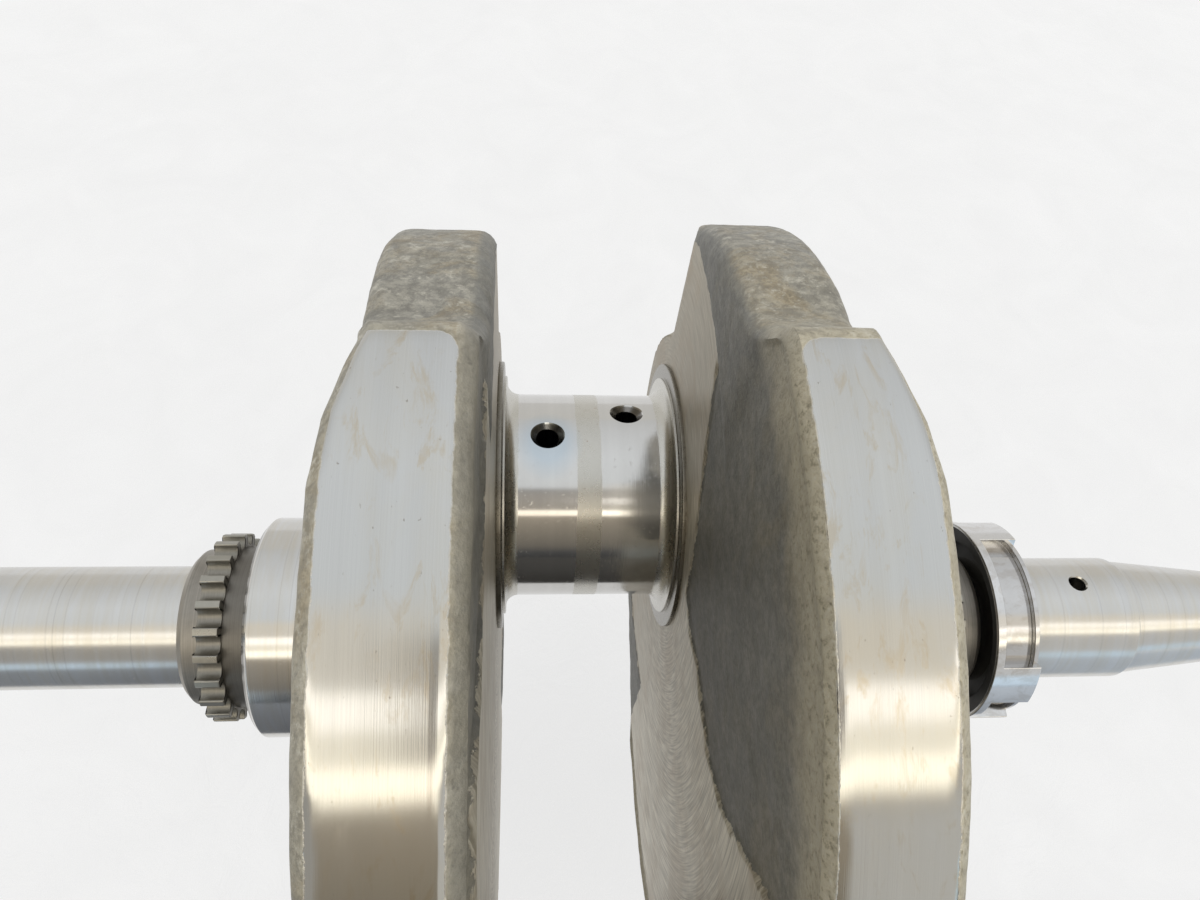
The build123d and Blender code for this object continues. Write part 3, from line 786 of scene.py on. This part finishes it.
oil_way = [(4.0, 0.0), (4.0, SHAFT_OIL_R), (RIGHT_SHAFT_R - 0.45, SHAFT_OIL_R),
           (RIGHT_SHAFT_R + 0.4, oil_mouth), (RIGHT_SHAFT_R + 2.0, oil_mouth), (RIGHT_SHAFT_R + 2.0, 0.0)]
key_surface = TAPER_R - TAPER_RATE * (ROTOR_KEY_X - TAPER_START)
right_shaft = drilled(turned(right_outline, SHAFT_STEPS), [
    drill((SHAFT_OIL_X, 0, 0), (0, *around(1.0, SHAFT_OIL_TURN)), oil_way, 40),
    feed_cutter(1, WEBS["right_web"]["outer"]), key_slot(ROTOR_KEY_X, key_surface)])
right_shaft = round_shading(piece("right_shaft", right_shaft, 20.0))
dress(right_shaft, shaft_finish("right_shaft_ground", 1))
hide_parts("crank_forging")

# ---- Cam-chain sprockets ----
# Hardened steel wheels of 23 teeth, pressed on beside the main journals: a neck against the
# journal, the teeth, and a collar. Oil has darkened them, the neck is painted darker still as
# shade, and the chain keeps the tips bright.
SPROCKET_TEETH = 23
TIP_R = 20.5
ROLLER_R = 1.95
ROLLER_CIRCLE_R = 19.95
TOOTH_TURN = -10.5
NECK_R = 17.6
NECK_WIDTH = 5.4
TOOTH_WIDTH = 4.9
COLLAR_R = 16.9
COLLAR_CHAMFER = 1.3
LEFT_COLLAR_WIDTH = 4.8
RIGHT_COLLAR_WIDTH = 5.8
OVERLAP = 0.3
EDGE_BREAK = 0.2


def broken_edges(bm, beyond_r):
    """The sharp edges farther out than the radius given, each broken by a small bevel."""
    sharp = [edge for edge in bm.edges if len(edge.link_faces) == 2
             and edge.calc_face_angle(0) > math.radians(60)
             and all(math.hypot(v.co.y, v.co.z) > beyond_r * MM for v in edge.verts)]
    bmesh.ops.bevel(bm, geom=sharp, offset=EDGE_BREAK * MM, offset_type="OFFSET", segments=2,
                    profile=0.5, affect="EDGES", material=-1)


def gear_wheel(side, start, stop):
    """The toothed disc: one round gap cut from a blank's edge, repeated round the axis."""
    bm = bmesh.new()
    pitch = 360.0 / SPROCKET_TEETH
    rim = []
    for place in range(SPROCKET_TEETH):
        middle = TOOTH_TURN + (place + 0.5) * pitch
        gap_y, gap_z = around(ROLLER_CIRCLE_R, middle)
        half = math.degrees(math.acos((ROLLER_CIRCLE_R**2 + TIP_R**2 - ROLLER_R**2)
                                      / (2 * ROLLER_CIRCLE_R * TIP_R)))
        first, last = around(TIP_R, middle - half), around(TIP_R, middle + half)
        begin = math.atan2(first[0] - gap_y, first[1] - gap_z)
        finish = math.atan2(last[0] - gap_y, last[1] - gap_z)
        inward = math.atan2(-gap_y, -gap_z)
        spread_first = (begin - inward + math.pi) % math.tau - math.pi
        spread_last = (finish - inward + math.pi) % math.tau - math.pi
        for t in np.linspace(0, 1, 11):
            lean = inward + spread_first + (spread_last - spread_first) * t
            rim.append((gap_y + ROLLER_R * math.sin(lean), gap_z + ROLLER_R * math.cos(lean)))
        for t in (0.33, 0.67):
            rim.append(around(TIP_R, middle + half + (pitch - 2 * half) * t))
    rim = eased([rim[-1]] + rim + [rim[0]], 0.26, 2)[1:-1]
    ring = [bm.verts.new((side * start * MM, y * MM, z * MM)) for y, z in rim]
    bore = [bm.verts.new((side * start * MM, y * MM, z * MM))
            for y, z in (around(SEAT_R, math.degrees(math.atan2(a, b))) for a, b in rim)]
    count = len(ring)
    faces = [bm.faces.new((ring[i], ring[(i + 1) % count], bore[(i + 1) % count], bore[i]))
             for i in range(count)]
    grown = bmesh.ops.extrude_face_region(bm, geom=faces)
    moved = [item for item in grown["geom"] if isinstance(item, bmesh.types.BMVert)]
    bmesh.ops.translate(bm, verts=moved, vec=(side * (stop - start) * MM, 0, 0))
    bmesh.ops.remove_doubles(bm, verts=bm.verts, dist=1e-6)
    bmesh.ops.recalc_face_normals(bm, faces=bm.faces)
    broken_edges(bm, SEAT_R + 1)
    return bm


def sprocket(name, side, collar_width):
    """One cam-chain sprocket with its neck, teeth, collar and oil-darkened finish, the neck painted darker
    as shade.
    """
    teeth_start = JOURNAL_END + NECK_WIDTH
    teeth_stop = teeth_start + TOOTH_WIDTH
    collar_stop = teeth_stop + collar_width
    neck_start = JOURNAL_END + RUNNING_CLEARANCE
    neck_stop = teeth_start + OVERLAP
    collar_start = teeth_stop - OVERLAP
    neck = [(neck_start, SEAT_R), (neck_start, NECK_R), (neck_stop, NECK_R), (neck_stop, SEAT_R),
            (neck_start, SEAT_R)]
    collar = [(collar_start, SEAT_R), (collar_start, COLLAR_R), (collar_stop - COLLAR_CHAMFER, COLLAR_R),
              (collar_stop, COLLAR_R - COLLAR_CHAMFER), (collar_stop, SEAT_R), (collar_start, SEAT_R)]
    blanks = [gear_wheel(side, teeth_start, teeth_stop)]
    for outline in (neck, collar):
        blanks.append(turned([(side * x, radius) for x, radius in eased(outline, 0.2)], 128))
    made = piece(name, joined(*blanks), 30.0)
    steel = Finish(name + "_steel", Metallic=0.9)
    out = steel.x * float(side)
    lines = steel.rings(0.3, 4.0)
    soot = steel.noise(5.0, 5.0, 0.65, 0.4, side * 3.0)
    grain = steel.noise(0.8, 4.0, 0.7)
    dark = steel.mixed(soot, (0.13, 0.12, 0.105), (0.32, 0.30, 0.265))
    dark = steel.mixed((lines - 0.5).step(0.3) * 0.35, dark, (0.42, 0.39, 0.34))
    # Painted shade: the neck, sunk between the journal and the teeth, is painted near black.
    dark = steel.mixed((teeth_start - out).step(0.3) * 0.55, dark, (0.075, 0.070, 0.062))
    in_teeth = (out - teeth_start).step(0.2) * (teeth_stop - out).step(0.2)
    tip = (steel.radius + (soot - 0.5) * 0.5 - TIP_R + 0.55).step(0.3) * in_teeth
    flank_wear = in_teeth * (steel.radius - 18.0).step(0.6) * 0.75
    worn = steel.mixed(grain, (0.13, 0.125, 0.105), (0.30, 0.285, 0.245))
    color = steel.mixed(flank_wear, dark, worn)
    color = steel.mixed(tip * 0.5, color, (0.40, 0.385, 0.34))
    corner = (COLLAR_R - 0.15 - steel.radius).step(0.2) * (out - collar_stop + COLLAR_CHAMFER).step(0.2)
    color = steel.mixed(corner * 0.35, color, (0.42, 0.38, 0.32))
    roughness = 0.34 + soot * 0.15 - tip * 0.12 + (grain - 0.5) * 0.1
    dress(made, steel.set(color, roughness, None, lines * 0.5 + grain * 0.7, 0.02))
    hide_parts(name.replace("_wheel", ""))


sprocket("left_cam_sprocket_wheel", -1, LEFT_COLLAR_WIDTH)
sprocket("right_cam_sprocket_wheel", 1, RIGHT_COLLAR_WIDTH)

# ---- Trigger ring ----
# A polished ring with a full lip in front and raised teeth behind it, pressed on against the
# right sprocket's collar. Its dished front is painted black, as shade and as the dark web it
# mirrors, and one tooth is left out.
RING_R = 23.1
RING_FLOOR_R = 20.0
RING_BACK_R = 21.4
LIP_WIDTH = 1.9
DISH_R = 18.8
DISH_DEPTH = 4.0
RING_BACK_WIDTH = 1.1
RING_PLACES = 7
RING_TOOTH_ANGLE = 26.0
RING_GAP_TURN = -12.0

dish_floor = RING_START + DISH_DEPTH
ring_outline = [(dish_floor, SEAT_R), (dish_floor, DISH_R), (RING_START + 1.0, DISH_R),
                (RING_START, RING_R - 0.9), (RING_START, RING_R), (RING_START + LIP_WIDTH, RING_R),
                (RING_START + LIP_WIDTH, RING_FLOOR_R), (RING_STOP - RING_BACK_WIDTH, RING_FLOOR_R),
                (RING_STOP - RING_BACK_WIDTH, RING_BACK_R), (RING_STOP, RING_BACK_R),
                (RING_STOP, SEAT_R), (dish_floor, SEAT_R)]
ring_blanks = [turned(eased(ring_outline, 0.22), 192)]
half_places = RING_PLACES // 2
for place in range(-half_places, half_places + 1):
    if place == 0:
        continue
    middle = RING_GAP_TURN + place * 360.0 / RING_PLACES
    bm = bmesh.new()
    front, back = RING_START + LIP_WIDTH - 0.4, RING_STOP - RUNNING_CLEARANCE
    root, tip = RING_FLOOR_R - 0.5, RING_R - 0.01
    section = [bm.verts.new((x * MM, 0.0, r * MM))
               for x, r in ((front, root), (back, root), (back, tip), (front, tip))]
    start_face = bm.faces.new(section)
    bmesh.ops.rotate(bm, verts=bm.verts, cent=(0, 0, 0),
                     matrix=Matrix.Rotation(math.radians(-(middle - RING_TOOTH_ANGLE / 2)), 3, "X"))
    bmesh.ops.spin(bm, geom=[start_face] + list(start_face.edges) + section, cent=(0, 0, 0), axis=(1, 0, 0),
                   dvec=(0, 0, 0), angle=math.radians(-RING_TOOTH_ANGLE), steps=14, use_merge=False)
    bmesh.ops.remove_doubles(bm, verts=bm.verts, dist=1e-6)
    bmesh.ops.recalc_face_normals(bm, faces=bm.faces)
    broken_edges(bm, RING_FLOOR_R + 1)
    ring_blanks.append(bm)
trigger = piece("trigger_ring_wheel", joined(*ring_blanks), 30.0)
steel = Finish("trigger_ring_polished", Metallic=1.0)
lines = steel.rings(0.25, 3.0)
haze = steel.noise(7.0, 4.0, 0.6)
film = steel.noise((4.0, 3.0, 3.0), 4.0, 0.6, 0.6, 8.0)
color = steel.mixed(haze, (0.56, 0.555, 0.55), (0.74, 0.735, 0.73))
color = steel.mixed((film - 0.55).step(0.12) * 0.35, color, (0.42, 0.38, 0.33))
# The floor between the teeth and the band behind them are coloured a little darker.
floor_darkening = (RING_R - 1.6 - steel.radius).step(0.4) * (steel.x - RING_START - LIP_WIDTH).step(0.3)
color = steel.mixed(floor_darkening * 0.25, color, (0.25, 0.23, 0.21))
# Painted shade and reflection: the dished front and the bore inside it are painted near black and made
# mostly non-metallic, for the shade in the dish and the dark web it mirrors.
dish = (RING_R - 0.75 - steel.radius).step(0.15) * (RING_START + 1.3 - steel.x).step(0.4)
dish = dish.most((19.0 - steel.radius).step(0.2) * (RING_STOP - 1.0 - steel.x).step(0.3))
black = steel.mixed(haze, (0.012, 0.012, 0.012), (0.035, 0.033, 0.030))
color = steel.mixed(dish, color, black)
roughness = steel.blend(dish, 0.10 + haze * 0.07 + (lines - 0.5) * 0.08, 0.45 + haze * 0.2)
dress(trigger, steel.set(color, roughness, 1.0 - dish * 0.9, lines * 0.5 + haze * 0.5, 0.01))
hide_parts("trigger_ring")

# ---- Retaining clip, dowels, plugs and keys ----
# Small bought-in parts: a spring-steel clip behind the ring, steel dowels, blackened oil-way
# plugs with hexagon sockets, and half-moon keys. They keep the shapes of the frame.


def small_part_finish(name, low, high, roughness, size):
    """Drawn or blackened steel with fine grain, rubbed lighter in patches."""
    steel = Finish(name, Metallic=1.0)
    grain = steel.noise(size, 4.0, 0.65)
    rub = steel.noise(size * 5, 4.0, 0.6, 0.4, 2.0)
    color = steel.mixed(rub, low, high)
    color = steel.mixed((grain - 0.6).step(0.1) * 0.4, color, tuple(c * 0.5 for c in low))
    return steel.set(color, roughness + (grain - 0.5) * 0.15 + (rub - 0.5) * 0.1, None, grain, 0.02)


spring_steel = small_part_finish("clip_spring_steel", (0.30, 0.30, 0.31), (0.52, 0.52, 0.53), 0.24, 0.5)
black_steel = small_part_finish("plug_black_steel", (0.045, 0.042, 0.040), (0.13, 0.12, 0.11), 0.38, 0.6)
key_steel = small_part_finish("key_drawn_steel", (0.46, 0.45, 0.43), (0.64, 0.63, 0.61), 0.22, 0.4)
SMALL_PARTS = {
    "retaining_clip": (spring_steel, "clip_steel"),
    "left_sprocket_dowel": (key_steel, "key_steel"),
    "right_sprocket_dowel": (key_steel, "key_steel"),
    "trigger_ring_dowel": (key_steel, "key_steel"),
    "left_trap_plug": (black_steel, "plug_steel"),
    "right_trap_plug": (black_steel, "plug_steel"),
    "shaft_gallery_plug": (black_steel, "plug_steel"),
    "rotor_key": (key_steel, "key_steel"),
    "drive_key": (key_steel, "key_steel"),
}
for node, (material, slot) in SMALL_PARTS.items():
    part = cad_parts[node]
    part.data.materials.clear()
    part.data.materials.append(material)

# ---- Floor, light and camera ----
# A pale, faintly creased sheet under the crank, a dark flag that only reflections see, a pale
# backdrop all round, a sky with bright strips in front, two soft lights and the camera.
FLOOR_Z = -103.7
FLOOR_HALF = 900.0
FLOOR_FRONT = -400.0
FLOOR_DROP = 1.0
CREASE = 0.9
FLAG_Y = -225.0
FLAG_HALF_LENGTH = 450.0
FLAG_HALF_WIDTH = 175.0
FLAG_RISE = 2.0
BACKDROP_R = 6000.0
WHITE = (1.0, 1.0, 1.0, 1.0)

bm = bmesh.new()
bmesh.ops.create_grid(bm, x_segments=160, y_segments=160, size=FLOOR_HALF * MM)
bmesh.ops.translate(bm, verts=bm.verts, vec=(0, (FLOOR_HALF + FLOOR_FRONT) * MM, 0))
for vert in bm.verts:
    crease = noise.fractal(Vector((vert.co.x * 14, vert.co.y * 14, 0.3)), 1.0, 2.0, 4)
    vert.co.z = (FLOOR_Z - FLOOR_DROP + crease * CREASE) * MM
ground = piece("floor_sheet", bm, 180.0, False)
paper = Finish("floor_paper", Roughness=0.55, Emission_Color=WHITE, Emission_Strength=0.77)
tint = paper.noise(45.0, 5.0, 0.6, 1.2)
paper_color = paper.mixed((tint - 0.5).step(0.5), (0.035, 0.035, 0.035), (0.060, 0.060, 0.060))
ground.data.materials.append(paper.set(paper_color, None, None, paper.noise(16.0, 5.0, 0.65, 2.0), 1.5))

bm = bmesh.new()
bmesh.ops.create_grid(bm, x_segments=1, y_segments=1, size=1.0)
flag_spot = Matrix.Translation((0, FLAG_Y * MM, (FLOOR_Z + FLAG_RISE) * MM))
flag_size = Matrix.Diagonal((FLAG_HALF_LENGTH * MM, FLAG_HALF_WIDTH * MM, 1.0, 1.0))
bmesh.ops.transform(bm, matrix=flag_spot @ flag_size, verts=bm.verts)
flag = piece("dark_flag", bm, 180.0, False)
felt = Finish("flag_felt", Roughness=0.9, Emission_Strength=1.0)
felt_color = felt.mixed(felt.noise(3.0), (0.010, 0.010, 0.010), (0.03, 0.028, 0.026))
flag.data.materials.append(felt.set(felt_color))
felt_glow = felt.node("ShaderNodeValToRGB", {"stops": [
    (0.0, (0.26, 0.29, 0.33, 1.0)), (0.28, (0.24, 0.27, 0.31, 1.0)), (0.39, (0.14, 0.155, 0.18, 1.0)),
    (0.435, (0.012, 0.012, 0.012, 1.0)), (0.565, (0.012, 0.012, 0.012, 1.0)),
    (0.62, (0.20, 0.22, 0.25, 1.0)), (0.72, (0.50, 0.56, 0.63, 1.0)), (1.0, (0.60, 0.67, 0.75, 1.0))]},
    [felt.x / (2 * FLAG_HALF_LENGTH) + 0.5])
felt.tree.links.new(felt_glow.socket, felt.shader.inputs["Emission Color"])
flag.visible_camera = False
flag.visible_diffuse = False
flag.visible_shadow = False

bm = bmesh.new()
bmesh.ops.create_icosphere(bm, subdivisions=4, radius=BACKDROP_R * MM)
bmesh.ops.reverse_faces(bm, faces=bm.faces)
backdrop = piece("pale_backdrop", bm, 180.0, False)
cloth = Finish("backdrop_cloth", Roughness=0.9, Emission_Color=WHITE, Emission_Strength=0.86)
cloth_color = cloth.mixed(cloth.noise(900.0), (0.02, 0.02, 0.02), (0.03, 0.03, 0.03))
backdrop.data.materials.append(cloth.set(cloth_color))
backdrop.visible_diffuse = False
backdrop.visible_glossy = False
backdrop.visible_transmission = False
backdrop.visible_shadow = False

world = bpy.data.worlds.new("studio")
bpy.context.scene.world = world
sky = Nodes(world)
facing = sky.node("ShaderNodeTexCoord", {}, {}, output="Generated")
sky_x, sky_y, sky_z = (sky.node("ShaderNodeSeparateXYZ", {}, [facing], output=axis) for axis in range(3))
turn = sky.node("ShaderNodeMath", {"operation": "ARCTAN2"}, [sky_y, sky_z]) * (180 / math.pi)
SKY_STOPS = [(-180, (0.05, 0.05, 0.05)), (-106, (0.06, 0.06, 0.06)), (-98, (0.10, 0.10, 0.10)),
             (-90, (0.22, 0.20, 0.17)), (-70, (0.36, 0.32, 0.26)), (-56, (0.48, 0.42, 0.34)),
             (-46, (0.50, 0.46, 0.40)), (-32, (0.50, 0.47, 0.43)), (-27, (0.46, 0.45, 0.43)),
             (-23, (0.94, 0.97, 0.99)), (10, (0.98, 1.01, 1.04)), (40, (0.86, 0.88, 0.90)),
             (60, (0.78, 0.79, 0.79)), (64, (0.80, 0.79, 0.76)), (100, (0.80, 0.79, 0.77)),
             (180, (0.7, 0.7, 0.7))]
dome = sky.node("ShaderNodeValToRGB", {"stops": [((angle + 180) / 360, color + (1.0,))
                                                for angle, color in SKY_STOPS]}, [(turn + 180) / 360])


def between(low, high, soft):
    """1 where the angle about the crank axis lies between the two given, with soft ends."""
    return (turn - low).step(soft) * (high - turn).step(soft)


aside = (abs(sky_x) - 0.11).step(0.06)
wide = (abs(sky_x) - 0.30).step(0.10)
right_hand = (sky_x - 0.28).step(0.10)
STRIPS = ((-102, -58, 6.0, wide, (0.48, 0.47, 0.45)), (-102, -58, 6.0, right_hand, (0.72, 0.72, 0.71)),
          (-106, -92, 4.0, wide, (0.80, 0.97, 1.12)), (-40, -20, 6.0, aside, (1.04, 0.98, 0.87)),
          (-56, -35.5, 1.5, aside, (1.45, 1.36, 1.16)), (-42, -35, 1.5, aside, (2.10, 2.00, 1.85)))
for low, high, soft, where, tone in STRIPS:
    dome = sky.mixed(between(low, high, soft) * where, dome, tone)
strength = 1.0 + between(-54.5, -48.5, 1.0) * (3.2 - aside * 2.6)
lit = sky.node("ShaderNodeBackground", {}, {"Color": dome, "Strength": strength})
world_output = sky.tree.nodes.new("ShaderNodeOutputWorld")
sky.tree.links.new(lit.socket, world_output.inputs["Surface"])


def panel(name, turn, distance, width, length, power, tint):
    """A soft rectangular light that faces the crank axis from an angle about it."""
    light = bpy.data.lights.new(name, "AREA")
    light.shape = "RECTANGLE"
    light.size = length * MM
    light.size_y = width * MM
    light.energy = power
    light.color = tint
    lamp = bpy.data.objects.new(name, light)
    bpy.context.scene.collection.objects.link(lamp)
    y, z = around(distance, turn)
    lamp.location = Vector((0, y, z)) * MM
    back = Vector((0, y, z)).normalized()
    up = back.cross(Vector((1, 0, 0))).normalized()
    right = up.cross(back).normalized()
    lamp.rotation_euler = Matrix((right, up, back)).transposed().to_euler()
    lamp.visible_camera = False
    lamp.visible_glossy = False


panel("overhead", 20.0, 1200.0, 1400.0, 1800.0, 9.0, (1.0, 0.99, 0.97))
panel("front_fill", -32.0, 1000.0, 700.0, 2200.0, 9.0, (1.0, 0.98, 0.94))

view = bpy.data.cameras.new("camera")
view.lens = 26.52
view.sensor_width = 36.0
view.clip_start = 0.01
view.clip_end = 20.0
camera = bpy.data.objects.new("camera", view)
camera.location = (-0.0156177, -0.0795461, 0.1919011)
camera.rotation_euler = tuple(math.radians(a) for a in (33.62624, -4.50651, -2.52544))
bpy.context.scene.collection.objects.link(camera)
bpy.context.scene.camera = camera
bpy.context.scene.view_settings.view_transform = "Standard"

bpy.context.view_layer.update()
